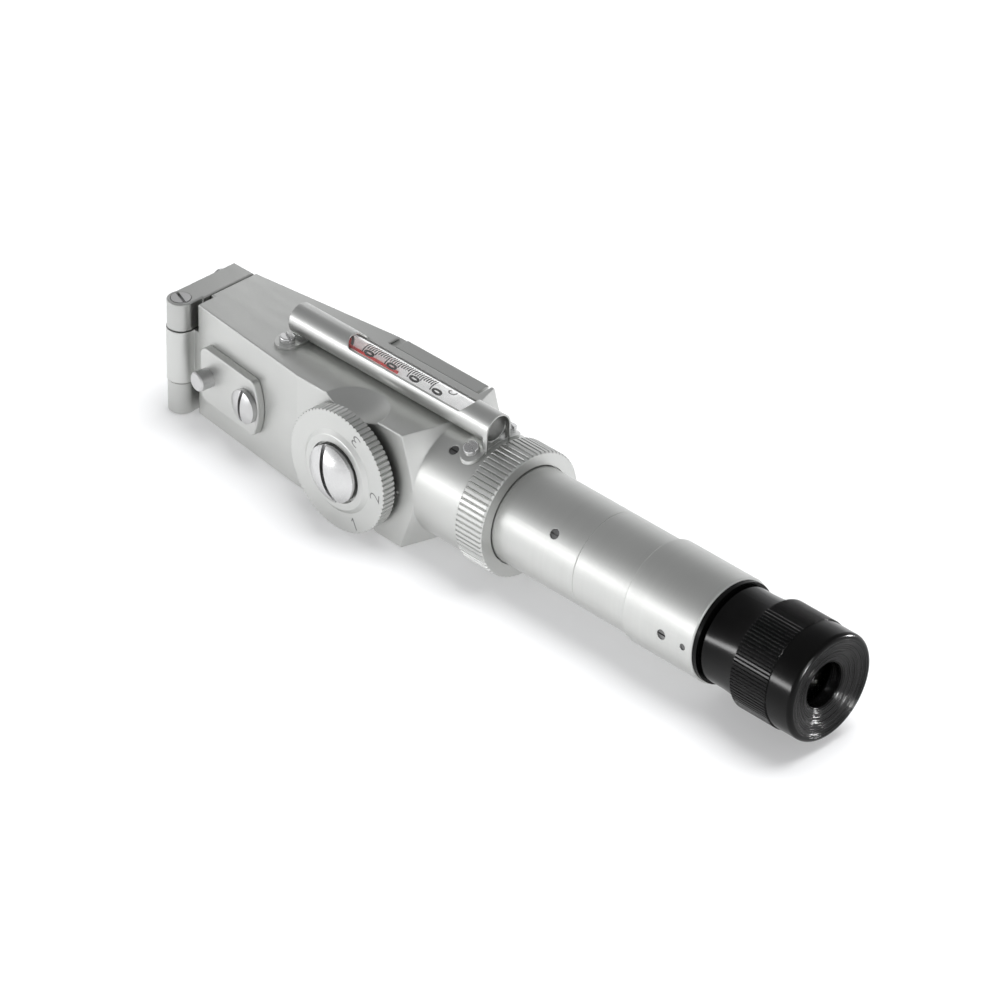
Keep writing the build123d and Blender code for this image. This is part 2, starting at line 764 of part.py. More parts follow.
# Middle tube: a spigot at each end, reticle seat at the rear
with BuildPart() as middle_tube:
    with BuildSketch(across(middle_tube_x - spigot_length)):
        Circle(tube_bore)
        Circle(middle_bore, mode=Mode.SUBTRACT)
    extrude(amount=spigot_length)
    with BuildSketch(across(middle_tube_x)):
        Circle(tube_radius)
        Circle(middle_bore, mode=Mode.SUBTRACT)
    extrude(amount=rear_tube_x - middle_tube_x)
    joint_edges = middle_tube.edges().filter_by(GeomType.CIRCLE).filter_by(
        lambda edge: edge.center().X < middle_tube_x + 0.01
    )
    chamfer(joint_edges.sort_by(SortBy.RADIUS)[-1], tube_edge)
    with BuildSketch(across(rear_tube_x)):
        Circle(rear_spigot_radius)
        Circle(middle_bore, mode=Mode.SUBTRACT)
    extrude(amount=rear_spigot_end_x - rear_tube_x)
    with BuildSketch(across(reticle_x)):
        Circle(seat_bore)
    extrude(amount=rear_spigot_end_x - reticle_x, mode=Mode.SUBTRACT)

# Rear tube over the middle tube's spigot and the eyepiece collar
with BuildPart() as rear_tube:
    with BuildSketch(across(rear_tube_x)):
        Circle(rear_tube_radius)
        Circle(rear_spigot_radius, mode=Mode.SUBTRACT)
    extrude(amount=rear_tube_end_x - rear_tube_x)
    chamfer(
        rear_tube.edges().filter_by(GeomType.CIRCLE).sort_by(SortBy.RADIUS)[-2:],
        0.3,
    )
    with BuildSketch(radial_plane(guide_x, rear_tube_radius + 1, rear_screw_angle)):
        Circle(guide_head_radius)
    extrude(amount=-1.3 - (rear_tube_radius - rear_spigot_radius), mode=Mode.SUBTRACT)
    with BuildSketch(radial_plane(rear_screw_x, rear_tube_radius + 1, rear_screw_angle)):
        Circle(0.8)
    extrude(amount=-1.3 - (rear_tube_radius - rear_spigot_radius), mode=Mode.SUBTRACT)

# Objective lens between two threaded rings
objective_end_x = objective_x + objective_thickness
objective_middle = objective_ring_bore / 2
objective_drop = cap_drop(objective_ring_bore, objective_bulge, objective_middle)
with BuildPart() as objective_lens:
    with BuildSketch(Plane.XZ):
        with BuildLine():
            Line((objective_x, 0), (objective_end_x, 0))
            ThreePointArc(
                (objective_end_x, 0),
                (objective_end_x - objective_drop, objective_middle),
                (objective_end_x - objective_bulge, objective_ring_bore),
            )
            Polyline(
                (objective_end_x - objective_bulge, objective_ring_bore),
                (objective_end_x - objective_bulge, tube_bore),
                (objective_x + objective_bulge, tube_bore),
                (objective_x + objective_bulge, objective_ring_bore),
            )
            ThreePointArc(
                (objective_x + objective_bulge, objective_ring_bore),
                (objective_x + objective_drop, objective_middle),
                (objective_x, 0),
            )
        make_face()
    revolve(axis=Axis.X)

with BuildPart() as objective_rings:
    ring_starts = (
        objective_x + objective_bulge - objective_ring_length,
        objective_end_x - objective_bulge,
    )
    for start in ring_starts:
        with BuildSketch(across(start)):
            Circle(tube_bore)
            Circle(objective_ring_bore, mode=Mode.SUBTRACT)
        extrude(amount=objective_ring_length)

# Reticle disc with the scale, and the ring that holds it
with BuildPart() as reticle_disc:
    with BuildSketch(across(reticle_x)):
        Circle(seat_bore)
    extrude(amount=reticle_thickness)

with BuildPart() as reticle_ring:
    with BuildSketch(across(reticle_x + reticle_thickness)):
        Circle(seat_bore)
        Circle(seat_bore - 1.4, mode=Mode.SUBTRACT)
    extrude(amount=retainer_length)

# Adjusting ring, its drive pin, and the compensator it turns
with BuildPart() as adjusting_ring:
    with BuildSketch(across(ring_x)):
        Polygon(*ridged_outline(ring_radius, 0.5, ring_ridge_count, first=-90.0), align=None)
    extrude(amount=ring_end_x - ring_x)
    with BuildSketch(Plane.XZ):
        with BuildLine():
            Polyline(
                (ring_x, 0),
                (ring_x, ring_radius - ring_edge),
                (ring_x + 2 * ring_edge, ring_radius + ring_edge),
                (ring_end_x - 2 * ring_edge, ring_radius + ring_edge),
                (ring_end_x, ring_radius - ring_edge),
                (ring_end_x, 0),
                close=True,
            )
        make_face()
    revolve(axis=Axis.X, mode=Mode.INTERSECT)
    with BuildSketch(across(ring_x)):
        Circle(tube_radius + pin_clearance)
    extrude(amount=ring_end_x - ring_x, mode=Mode.SUBTRACT)
    with BuildSketch(across(ring_end_x - ring_relief_depth)):
        Circle(tube_radius + ring_relief)
    extrude(amount=ring_relief_depth, mode=Mode.SUBTRACT)
    with BuildSketch(Plane.XY.offset(-drive_pin_outer)):
        with Locations((drive_pin_x, 0)):
            Circle(drive_pin_radius)
    extrude(amount=drive_pin_outer - tube_radius, mode=Mode.SUBTRACT)

with BuildPart() as drive_pin:
    with BuildSketch(Plane.XY.offset(-drive_pin_outer)):
        with Locations((drive_pin_x, 0)):
            Circle(drive_pin_radius)
    extrude(amount=drive_pin_outer - drive_pin_inner)

with BuildPart() as compensator_cell:
    with BuildSketch(across(cell_start_x)):
        Circle(tube_bore - pin_clearance)
        Rectangle(comp_width, comp_width, mode=Mode.SUBTRACT)
    extrude(amount=cell_end_x - cell_start_x)
    with BuildSketch(Plane.XY.offset(-tube_bore)):
        with Locations((drive_pin_x, 0)):
            Circle(drive_pin_radius)
    extrude(amount=tube_bore - drive_pin_inner, mode=Mode.SUBTRACT)

with BuildPart() as compensator_prism:
    with BuildSketch(across(comp_start_x)):
        Rectangle(comp_width, comp_width)
    extrude(amount=comp_end_x - comp_start_x)

# Black collar: screwed into the rear tube, its sleeve carries the eyecup
with BuildPart() as eyepiece_collar:
    with BuildSketch(across(collar_start_x)):
        Circle(rear_spigot_radius)
    extrude(amount=rear_tube_end_x - collar_start_x)
    with BuildSketch(across(rear_tube_end_x)):
        Circle(collar_flange_radius)
    extrude(amount=collar_end_x - rear_tube_end_x)
    with BuildSketch(across(collar_end_x)):
        Circle(sleeve_radius)
    extrude(amount=sleeve_end_x - collar_end_x)
    with BuildSketch(across(collar_start_x)):
        Circle(sleeve_bore)
    extrude(amount=sleeve_end_x - collar_start_x, mode=Mode.SUBTRACT)
    with BuildSketch(radial_plane(guide_x, rear_spigot_radius + 1, rear_screw_angle)):
        Circle(guide_radius)
    extrude(amount=-1 - (rear_spigot_radius - sleeve_bore) - 0.5, mode=Mode.SUBTRACT)

# Cell of the eye lens: slides in the collar, kept from turning by the guide screw
with BuildPart() as eye_lens_cell:
    with BuildSketch(across(lens_cell_x)):
        Circle(sleeve_bore - pin_clearance)
    extrude(amount=lens_cell_end_x - lens_cell_x)
    with BuildSketch(across(lens_flange_x)):
        Circle(lens_flange_radius)
    extrude(amount=lens_cell_end_x - lens_flange_x)
    with BuildSketch(across(lens_cell_x)):
        Circle(lens_cell_bore - 0.6)
    extrude(amount=lens_cell_end_x - lens_cell_x, mode=Mode.SUBTRACT)
    with BuildSketch(across(eye_lens_x)):
        Circle(lens_cell_bore)
    extrude(amount=lens_cell_end_x - eye_lens_x, mode=Mode.SUBTRACT)
    slot_front = guide_x - guide_radius - travel_out - cell_clearance
    slot_rear = guide_x + guide_radius + travel_in + cell_clearance
    with BuildSketch(radial_plane((slot_front + slot_rear) / 2, sleeve_bore, rear_screw_angle)):
        SlotOverall(slot_rear - slot_front, 2 * guide_radius + 2 * pin_clearance)
    extrude(amount=-3, mode=Mode.SUBTRACT)

eye_lens_drop = cap_drop(lens_cell_bore, eye_lens_bulge, lens_cell_bore / 2)
with BuildPart() as eye_lens:
    with BuildSketch(Plane.XZ):
        with BuildLine():
            lens_end = eye_lens_x + eye_lens_thickness
            Polyline(
                (lens_end, 0),
                (eye_lens_x, 0),
                (eye_lens_x, lens_cell_bore),
                (lens_end - eye_lens_bulge, lens_cell_bore),
            )
            ThreePointArc(
                (lens_end - eye_lens_bulge, lens_cell_bore),
                (lens_end - eye_lens_drop, lens_cell_bore / 2),
                (lens_end, 0),
            )
        make_face()
    revolve(axis=Axis.X)

# Eyecup: turns on the collar's sleeve and carries the lens cell's flange
with BuildPart() as eyecup:
    with BuildSketch(Plane.XZ):
        with BuildLine():
            Polyline(
                (knurl_x, cup_waist_radius),
                (knurl_x, 0),
                (cup_x, 0),
                (cup_x, cup_neck_radius),
            )
            ThreePointArc(
                (cup_x, cup_neck_radius),
                (cup_x + 0.6 * (knurl_x - cup_x), cup_neck_radius + 0.15),
                (knurl_x, cup_waist_radius),
            )
        make_face()
    revolve(axis=Axis.X)
    with BuildSketch(across(knurl_x)):
        Polygon(*ridged_outline(knurl_radius, knurl_depth, knurl_ridge_count), align=None)
    extrude(amount=knurl_end_x - knurl_x)
    with BuildSketch(across(knurl_end_x)):
        Circle(rim_radius)
    extrude(amount=cup_end_x - knurl_end_x)
    fillet(eyecup.faces().sort_by(Axis.X)[-1].edges(), rim_round)
    with BuildSketch(across(cup_x)):
        Circle(sleeve_radius + pin_clearance)
    extrude(amount=lens_flange_x - cup_x, mode=Mode.SUBTRACT)
    with BuildSketch(across(lens_flange_x - face_gap)):
        Circle(lens_flange_radius + face_gap)
    extrude(amount=guard_x - lens_flange_x + face_gap, mode=Mode.SUBTRACT)
    with BuildSketch(across(guard_x)):
        Circle(guard_radius)
    extrude(amount=cup_end_x - guard_x, mode=Mode.SUBTRACT)

# Eye guard: the dished face with the sight hole
with BuildPart() as eye_guard:
    with BuildSketch(Plane.XZ):
        with BuildLine():
            Polyline(
                (guard_x, sight_radius),
                (guard_x, guard_radius),
                (cup_end_x, guard_radius),
                (cup_end_x - 0.2, guard_radius - 0.6),
                (cup_end_x - dish_depth, sight_radius + 0.4),
                (cup_end_x - dish_depth - 0.4, sight_radius),
                close=True,
            )
        make_face()
    revolve(axis=Axis.X)

# Thermometer guard: windowed tube with a front lug and a strap over the neck
with BuildPart() as thermometer_guard:
    with BuildSketch(across(guard_start_x)):
        with Locations((guard_y, guard_z)):
            Circle(guard_outer)
    extrude(amount=guard_end_x - guard_start_x)
    # the rear end stands on two legs over the neck
    arch_x = rear_lug_x + lug_screw_radius + face_gap
    arch_bottom = neck_radius - arch_foot
    arch_height = guard_z - arch_bottom
    with BuildSketch(across(arch_x)):
        with Locations((guard_y, arch_bottom + arch_height / 2)):
            Rectangle(2 * guard_outer, arch_height)
            Rectangle(2 * (guard_outer - guard_wall), arch_height, mode=Mode.SUBTRACT)
    extrude(amount=guard_end_x - arch_x)
    with BuildSketch(across(arch_x)):
        with Locations((guard_y, arch_bottom + arch_height / 2)):
            Rectangle(2 * (guard_outer - guard_wall), arch_height)
    extrude(amount=guard_end_x - arch_x, mode=Mode.SUBTRACT)
    with BuildSketch(across(arch_x)):
        Circle(neck_radius)
    extrude(amount=guard_end_x - arch_x, mode=Mode.SUBTRACT)
    with BuildSketch(Plane.XY.offset(half_height)):
        with Locations(((front_lug_x), front_lug_y)):
            Circle(lug_radius)
        with Locations((front_lug_x, (front_lug_y + guard_y) / 2)):
            Rectangle(2 * lug_radius, guard_y - front_lug_y)
    extrude(amount=lug_thickness)
    with BuildPart(mode=Mode.PRIVATE) as strap:
        with BuildSketch(across(rear_lug_x - 4)):
            Circle(neck_radius + lug_thickness)
            Circle(neck_radius, mode=Mode.SUBTRACT)
        extrude(amount=8)
        with BuildSketch(Plane.XY.offset(5)):
            with Locations(Location((rear_lug_x, rear_lug_y, 0), (0, 0, 90))):
                SlotCenterToCenter(2 * rear_lug_spread, 2 * lug_radius)
        extrude(amount=20, mode=Mode.INTERSECT)
    add(strap.part)
    with BuildSketch(across(guard_start_x - 4)):
        with Locations((guard_y, guard_z)):
            Circle(guard_outer - guard_wall)
    extrude(amount=guard_end_x - guard_start_x + 8, mode=Mode.SUBTRACT)
    window_out = (0, -math.sin(math.radians(window_tilt)), math.cos(math.radians(window_tilt)))
    window_middle = (
        (window_start_x + window_end_x) / 2,
        guard_y + window_floor * window_out[1],
        guard_z + window_floor * window_out[2],
    )
    with BuildSketch(Plane(origin=window_middle, x_dir=(1, 0, 0), z_dir=window_out)):
        RectangleRounded(
            window_end_x - window_start_x,
            2 * window_half_width,
            window_half_width - 0.05,
        )
    extrude(amount=guard_outer + 2, mode=Mode.SUBTRACT)
    with BuildSketch(Plane.XY.offset(half_height)):
        with Locations((front_lug_x, front_lug_y)):
            Circle(lug_screw_shank)
    extrude(amount=lug_thickness, mode=Mode.SUBTRACT)
    for side in (-1, 1):
        lug_angle = math.degrees(math.acos((rear_lug_y + side * rear_lug_spread) / neck_radius))
        with BuildSketch(radial_plane(rear_lug_x, neck_radius - 0.5, lug_angle)):
            Circle(lug_screw_shank)
        extrude(amount=lug_thickness + 0.8, mode=Mode.SUBTRACT)

# Three identical slotted screws of the thermometer guard
with BuildPart() as guard_screws:
    screw_planes = [Plane(origin=(front_lug_x, front_lug_y, half_height), x_dir=(1, 0, 0))]
    for side in (-1, 1):
        lug_angle = math.degrees(math.acos((rear_lug_y + side * rear_lug_spread) / neck_radius))
        screw_planes.append(radial_plane(rear_lug_x, neck_radius, lug_angle))
    for seat in screw_planes:
        with BuildSketch(seat.offset(-lug_screw_depth)):
            Circle(lug_screw_shank)
        extrude(amount=lug_screw_depth + lug_thickness)
        with BuildSketch(seat.offset(lug_thickness)):
            Circle(lug_screw_radius)
        extrude(amount=lug_screw_height)
        with BuildSketch(seat.offset(lug_thickness + lug_screw_height)):
            with Locations(Location((0, 0, 0), (0, 0, 35))):
                Rectangle(3 * lug_screw_radius, slot_width)
        extrude(amount=-0.7, mode=Mode.SUBTRACT)

# Thermometer: glass tube on two seats, white liner, red liquid
with BuildPart() as thermometer_tube:
    with BuildSketch(across(glass_x)):
        with Locations((guard_y, guard_z)):
            Circle(glass_outer)
    extrude(amount=glass_end_x - glass_x)
    fillet(
        thermometer_tube.faces().sort_by(Axis.X)[0].edges()
        + thermometer_tube.faces().sort_by(Axis.X)[-1].edges(),
        1.0,
    )
    with BuildSketch(across(glass_x + 0.8)):
        with Locations((guard_y, guard_z)):
            Circle(glass_inner)
    extrude(amount=glass_end_x - glass_x - 1.6, mode=Mode.SUBTRACT)

with BuildPart() as thermometer_seats:
    for start in (glass_x + 1.2, glass_end_x - 1.2 - seat_length):
        with BuildSketch(across(start)):
            with Locations((guard_y, guard_z)):
                Circle(guard_outer - guard_wall)
                Circle(glass_outer, mode=Mode.SUBTRACT)
        extrude(amount=seat_length)

lean = math.radians(backing_lean)
backing_out = (-math.sin(lean), math.cos(lean))
lip_middle = backing_lip + glass_outer
with BuildPart() as thermometer_backing:
    with BuildSketch(across(backing_x)):
        with Locations((guard_y, guard_z)):
            Circle(glass_inner)
            Circle(glass_inner - backing_thickness, mode=Mode.SUBTRACT)
        lip_spot = (guard_y + lip_middle * backing_out[0], guard_z + lip_middle * backing_out[1])
        with Locations(Location((lip_spot[0], lip_spot[1], 0), (0, 0, backing_lean))):
            Rectangle(3 * glass_outer, 2 * glass_outer, mode=Mode.SUBTRACT)
    extrude(amount=backing_end_x - backing_x)

column_depth = glass_inner - backing_thickness - column_radius
bulb_depth = glass_inner - bulb_radius
with BuildPart() as thermometer_liquid:
    with BuildSketch(across(backing_x - 2)):
        with Locations(
            (guard_y - column_depth * backing_out[0], guard_z - column_depth * backing_out[1])
        ):
            Circle(column_radius)
    extrude(amount=column_end_x - backing_x + 2)
    with BuildSketch(across(backing_x - 1 - bulb_length)):
        with Locations(
            (guard_y - bulb_depth * backing_out[0], guard_z - bulb_depth * backing_out[1])
        ):
            Circle(bulb_radius)
    extrude(amount=bulb_length)

# Set screws and the guide screw of the barrel
with BuildPart() as neck_set_screw:
    with BuildSketch(radial_plane(neck_screw_x, tube_radius, neck_screw_angle)):
        Circle(guide_head_radius)
    extrude(amount=neck_radius - tube_radius - screw_sink)
    with BuildSketch(radial_plane(neck_screw_x, neck_radius - screw_sink, neck_screw_angle)):
        Rectangle(3 * guide_head_radius, 0.4)
    extrude(amount=-0.6, mode=Mode.SUBTRACT)

with BuildPart() as tube_set_screw:
    with BuildSketch(radial_plane(tube_screw_x, tube_bore, tube_screw_angle)):
        Circle(guide_head_radius)
    extrude(amount=tube_radius - tube_bore - screw_sink)
    with BuildSketch(radial_plane(tube_screw_x, tube_radius - screw_sink, tube_screw_angle)):
        Rectangle(3 * guide_head_radius, 0.4)
    extrude(amount=-0.5, mode=Mode.SUBTRACT)

with BuildPart() as guide_screw:
    with BuildSketch(radial_plane(guide_x, rear_spigot_radius, rear_screw_angle)):
        Circle(guide_head_radius)
    extrude(amount=rear_tube_radius - rear_spigot_radius - screw_sink)
    with BuildSketch(radial_plane(guide_x, rear_spigot_radius, rear_screw_angle)):
        Circle(guide_radius)
    extrude(amount=-(rear_spigot_radius - sleeve_bore) - 0.8)
    with BuildSketch(radial_plane(guide_x, rear_tube_radius - screw_sink, rear_screw_angle)):
        Rectangle(3 * guide_head_radius, 0.4)
    extrude(amount=-0.5, mode=Mode.SUBTRACT)

with BuildPart() as rear_set_screw:
    with BuildSketch(radial_plane(rear_screw_x, rear_spigot_radius, rear_screw_angle)):
        Circle(0.8)
    extrude(amount=rear_tube_radius - rear_spigot_radius - screw_sink)

pieces = {
    "prism_housing": prism_housing,
    "measuring_prism": measuring_prism,
    "light_window": light_window,
    "hinge_pin": hinge_pin,
    "lid_frame": lid_frame,
    "illuminating_prism": illuminating_prism,
    "lid_stop_screw": lid_stop_screw,
    "shutter_plate": shutter_plate,
    "shutter_pin": shutter_pin,
    "shutter_screw": shutter_screw,
    "knob_bush": knob_bush,
    "range_dial": range_dial,
    "dial_screw": dial_screw,
    "range_shaft": range_shaft,
    "range_prism": range_prism,
    "front_tube": front_tube,
    "middle_tube": middle_tube,
    "rear_tube": rear_tube,
    "objective_lens": objective_lens,
    "objective_rings": objective_rings,
    "reticle_disc": reticle_disc,
    "reticle_ring": reticle_ring,
    "adjusting_ring": adjusting_ring,
    "drive_pin": drive_pin,
    "compensator_cell": compensator_cell,
    "compensator_prism": compensator_prism,
    "eyepiece_collar": eyepiece_collar,
    "eye_lens_cell": eye_lens_cell,
    "eye_lens": eye_lens,
    "eyecup": eyecup,
    "eye_guard": eye_guard,
    "thermometer_guard": thermometer_guard,
    "guard_screws": guard_screws,
    "thermometer_tube": thermometer_tube,
    "thermometer_seats": thermometer_seats,
    "thermometer_backing": thermometer_backing,
    "thermometer_liquid": thermometer_liquid,
    "neck_set_screw": neck_set_screw,
    "tube_set_screw": tube_set_screw,
    "guide_screw": guide_screw,
    "rear_set_screw": rear_set_screw,
}

os.makedirs("parts", exist_ok=True)
for name, piece in pieces.items():
    piece.part.label = name
    export_step(piece.part, "parts/" + name + ".step")
    box = piece.part.bounding_box()
    print(name, round(piece.part.volume, 1), len(piece.part.solids()), box.min, box.max)
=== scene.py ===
import bpy
import bmesh
import json
import math
from mathutils import Matrix, Vector


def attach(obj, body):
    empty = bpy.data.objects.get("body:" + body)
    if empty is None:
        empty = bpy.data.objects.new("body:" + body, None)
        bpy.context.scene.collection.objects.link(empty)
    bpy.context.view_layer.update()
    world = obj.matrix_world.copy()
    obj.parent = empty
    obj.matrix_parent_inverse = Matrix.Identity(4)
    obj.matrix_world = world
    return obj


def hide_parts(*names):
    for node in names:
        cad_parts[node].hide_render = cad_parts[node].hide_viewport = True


# Analog refractometer: prism housing with a hinged lid, range dial, adjusting ring,
# thermometer and a black focusing eyepiece. Metres, optical axis along X.

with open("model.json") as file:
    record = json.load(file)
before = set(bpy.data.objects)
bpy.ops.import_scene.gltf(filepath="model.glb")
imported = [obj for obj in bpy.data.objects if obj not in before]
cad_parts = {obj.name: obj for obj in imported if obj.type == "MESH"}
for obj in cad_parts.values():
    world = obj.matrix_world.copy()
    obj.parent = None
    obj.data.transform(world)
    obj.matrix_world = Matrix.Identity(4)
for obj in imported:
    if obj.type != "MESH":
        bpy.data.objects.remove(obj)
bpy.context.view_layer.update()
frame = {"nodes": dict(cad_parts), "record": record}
nodes = frame["nodes"]
shoulderX = -0.119          # turned shoulder behind the housing
print("frame loaded with", len(nodes), "nodes")


# camera

cameraSet = {
    "azimuth": 44.333,      # degrees round the object from the dial side
    "elevation": 33.942,
    "roll": 1.424,
    "aim": (shoulderX + 0.017284, 0.0, -0.000605),
    "distance": 1.2509,
    "lens": 195.24,
    "sensor": 36.0,
    "clip": (0.05, 20.0),
}


def placeCamera(s):
    azimuth, elevation, roll = (math.radians(s[k]) for k in ("azimuth", "elevation", "roll"))
    back = Vector((math.sin(azimuth) * math.cos(elevation),
                   -math.cos(azimuth) * math.cos(elevation),
                   math.sin(elevation)))
    right = Vector((math.cos(azimuth), math.sin(azimuth), 0))
    up = back.cross(right)
    turnedRight = right * math.cos(roll) + up * math.sin(roll)
    turnedUp = up * math.cos(roll) - right * math.sin(roll)
    lens = bpy.data.cameras.new("camera")
    lens.lens = s["lens"]
    lens.sensor_width = s["sensor"]
    lens.clip_start, lens.clip_end = s["clip"]
    camera = bpy.data.objects.new("camera", lens)
    turn = Matrix((turnedRight, turnedUp, back)).transposed().to_4x4()
    camera.matrix_world = Matrix.Translation(Vector(s["aim"]) + back * s["distance"]) @ turn
    bpy.context.scene.collection.objects.link(camera)
    bpy.context.scene.camera = camera


placeCamera(cameraSet)
print("camera placed")


# shader helpers

bevelSamples = 4
noiseMean = 0.5
white = (1, 1, 1, 1)


class Wire:
    # a node's output that is added, subtracted, multiplied and raised like a number
    def __init__(self, tree, socket):
        self.tree = tree
        self.socket = socket

    def calc(self, operation, first, second):
        return self.tree.node("ShaderNodeMath", {"operation": operation},
                              {0: first, 1: second})

    def __add__(self, other):
        return self.calc("ADD", self, other)

    def __radd__(self, other):
        return self.calc("ADD", other, self)

    def __sub__(self, other):
        return self.calc("SUBTRACT", self, other)

    def __mul__(self, other):
        return self.calc("MULTIPLY", self, other)

    def __pow__(self, other):
        return self.calc("POWER", self, other)


class Finish:
    # one material, or the world, and the only way nodes get into it
    def __init__(self, name, world=None):
        self.data = world or bpy.data.materials.new(name)
        self.data.use_nodes = True
        self.data.node_tree.nodes.clear()

    def node(self, kind, settings=None, values=None, output=0):
        made = self.data.node_tree.nodes.new(kind)
        for key, value in (settings or {}).items():
            setattr(made, key, value)
        for key, value in (values or {}).items():
            if isinstance(value, Wire):
                self.data.node_tree.links.new(value.socket, made.inputs[key])
            else:
                made.inputs[key].default_value = value
        return Wire(self, made.outputs[output]) if len(made.outputs) else None

    def place(self, move=(0, 0, 0), scale=(1, 1, 1)):
        spot = self.node("ShaderNodeTexCoord", output="Object")
        return self.node("ShaderNodeMapping", values={
            "Vector": spot, "Location": move, "Scale": scale})

    def noise(self, vector, scale, detail, rough):
        return self.node("ShaderNodeTexNoise", values={
            "Vector": vector, "Scale": scale, "Detail": detail, "Roughness": rough})

    def mix(self, factor, first, second):
        # sockets 6 and 7 and output 2 are the node's colours
        return self.node("ShaderNodeMix", {"data_type": "RGBA"},
                         {0: factor, 6: first, 7: second}, output=2)

    def axes(self, vector):
        split = self.node("ShaderNodeSeparateXYZ", values={"Vector": vector})
        outs = split.socket.node.outputs
        return [Wire(self, outs[i]) for i in range(3)]

    def bump(self, height, strength, distance, edge=None):
        # grain over edges that are broken by the radius given
        values = {"Height": height, "Strength": strength, "Distance": distance}
        if edge:
            values["Normal"] = self.node("ShaderNodeBevel", {"samples": bevelSamples},
                                         {"Radius": edge})
        return self.node("ShaderNodeBump", values=values)

    def surface(self, **values):
        names = {"colour": "Base Color", "metal": "Metallic", "rough": "Roughness",
                 "normal": "Normal", "glass": "Transmission Weight", "ior": "IOR",
                 "alpha": "Alpha", "specular": "Specular IOR Level",
                 "glow": "Emission Color", "glowStrength": "Emission Strength"}
        body = self.node("ShaderNodeBsdfPrincipled",
                         values={names[k]: v for k, v in values.items()})
        self.node("ShaderNodeOutputMaterial", values={"Surface": body})
        return self.data


def grey(value, tint=(1.0, 1.0, 1.0)):
    return (value * tint[0], value * tint[1], value * tint[2], 1.0)


# finishes

lightTint = (0.99, 1.0, 0.975)
darkTint = (0.99, 1.0, 0.98)

# detail and roughness of the noise textures
ringNoise = (1.0, 0.5)
coarseNoise = (2.0, 0.5)
fineNoise = (2.0, 0.6)
smearNoise = (3.0, 0.5)
screwNoise = (3.0, 0.6)
cloudNoise = (4.0, 0.6)
rubNoise = (5.0, 0.65)


blastedSet = {
    "light": grey(0.66, lightTint),
    "dark": grey(0.57, darkTint),
    "rough": 0.42,
    "grainRough": 0.16,     # how far the grain moves the roughness
    "smearRough": 0.12,
    "edge": 0.0005,
    "grain": 3200.0,        # per metre
    "cloud": 55.0,
    "smear": 330.0,
    "smearScale": (0.25, 1, 1),
    "cloudShare": 0.7,
    "smearShare": 0.3,
    "bump": 0.2,
    "relief": 0.00004,
}


def blastedAluminium(name, s):
    f = Finish(name)
    spot = f.place()
    grain = f.noise(spot, s["grain"], *fineNoise)
    cloud = f.noise(spot, s["cloud"], *cloudNoise)
    smear = f.noise(f.place(scale=s["smearScale"]), s["smear"], *smearNoise)
    colour = f.mix(cloud * s["cloudShare"] + smear * s["smearShare"], s["dark"], s["light"])
    rough = (s["rough"] + (grain - noiseMean) * s["grainRough"]
             + (smear - noiseMean) * s["smearRough"])
    return f.surface(colour=colour, metal=1.0, rough=rough,
                     normal=f.bump(grain, s["bump"], s["relief"], s["edge"]))


turnedSet = {
    "light": grey(0.67, lightTint),
    "dark": grey(0.58, darkTint),
    "rough": 0.42,
    "lineRough": 0.14,
    "cloudRough": 0.14,
    "line": 5200.0,
    "lineScale": (1, 0.02, 0.02),
    "coarse": 5200.0 / 6,
    "coarseScale": (1, 0.03, 0.03),
    "cloud": 45.0,
    "cloudShare": 0.6,
    "coarseShare": 0.4,
    "edge": 0.00022,
    "bump": 0.12,
    "relief": 0.00004,
}


def turnedAluminium(name, s):
    # fine lathe lines round the optical axis
    f = Finish(name)
    lines = f.noise(f.place(scale=s["lineScale"]), s["line"], *fineNoise)
    coarse = f.noise(f.place(scale=s["coarseScale"]), s["coarse"], *coarseNoise)
    cloud = f.noise(f.place(), s["cloud"], *cloudNoise)
    colour = f.mix(cloud * s["cloudShare"] + coarse * s["coarseShare"], s["dark"], s["light"])
    rough = (s["rough"] + (lines - noiseMean) * s["lineRough"]
             + (cloud - noiseMean) * s["cloudRough"])
    return f.surface(colour=colour, metal=1.0, rough=rough,
                     normal=f.bump(lines + coarse, s["bump"], s["relief"], s["edge"]))


dialSet = {
    "centre": (shoulderX - 0.0165, 0.0),
    "light": grey(0.67, lightTint),
    "dark": grey(0.58, darkTint),
    "rough": 0.40,
    "lineRough": 0.16,
    "cloudRough": 0.1,
    "line": 4200.0,
    "cloud": 60.0,
    "edge": 0.00012,
    "bump": 0.14,
    "relief": 0.00004,
}


def facedAluminium(name, s):
    # lathe lines round the dial's own axis
    f = Finish(name)
    x, y, z = f.axes(f.place(move=(-s["centre"][0], 0, -s["centre"][1])))
    radius = (x * x + z * z) ** 0.5
    along = f.node("ShaderNodeCombineXYZ", values={"X": radius, "Y": y})
    lines = f.noise(along, s["line"], *fineNoise)
    cloud = f.noise(f.place(), s["cloud"], *cloudNoise)
    colour = f.mix(cloud, s["dark"], s["light"])
    rough = (s["rough"] + (lines - noiseMean) * s["lineRough"]
             + (cloud - noiseMean) * s["cloudRough"])
    return f.surface(colour=colour, metal=1.0, rough=rough,
                     normal=f.bump(lines, s["bump"], s["relief"], s["edge"]))


steelSet = {
    "darker": 0.82,
    "grain": 2400.0,
    "cloud": 240.0,
    "grainRough": 0.1,
    "bump": 0.03,
    "relief": 0.00003,
    "edge": 0.00015,
}


def screwSteel(name, s, light, rough):
    f = Finish(name)
    spot = f.place()
    grain = f.noise(spot, s["grain"], *screwNoise)
    cloud = f.noise(spot, s["cloud"], *screwNoise)
    colour = f.mix(cloud, grey(light * s["darker"]), grey(light))
    return f.surface(colour=colour, metal=1.0,
                     rough=rough + (grain - noiseMean) * s["grainRough"],
                     normal=f.bump(grain, s["bump"], s["relief"], s["edge"]))


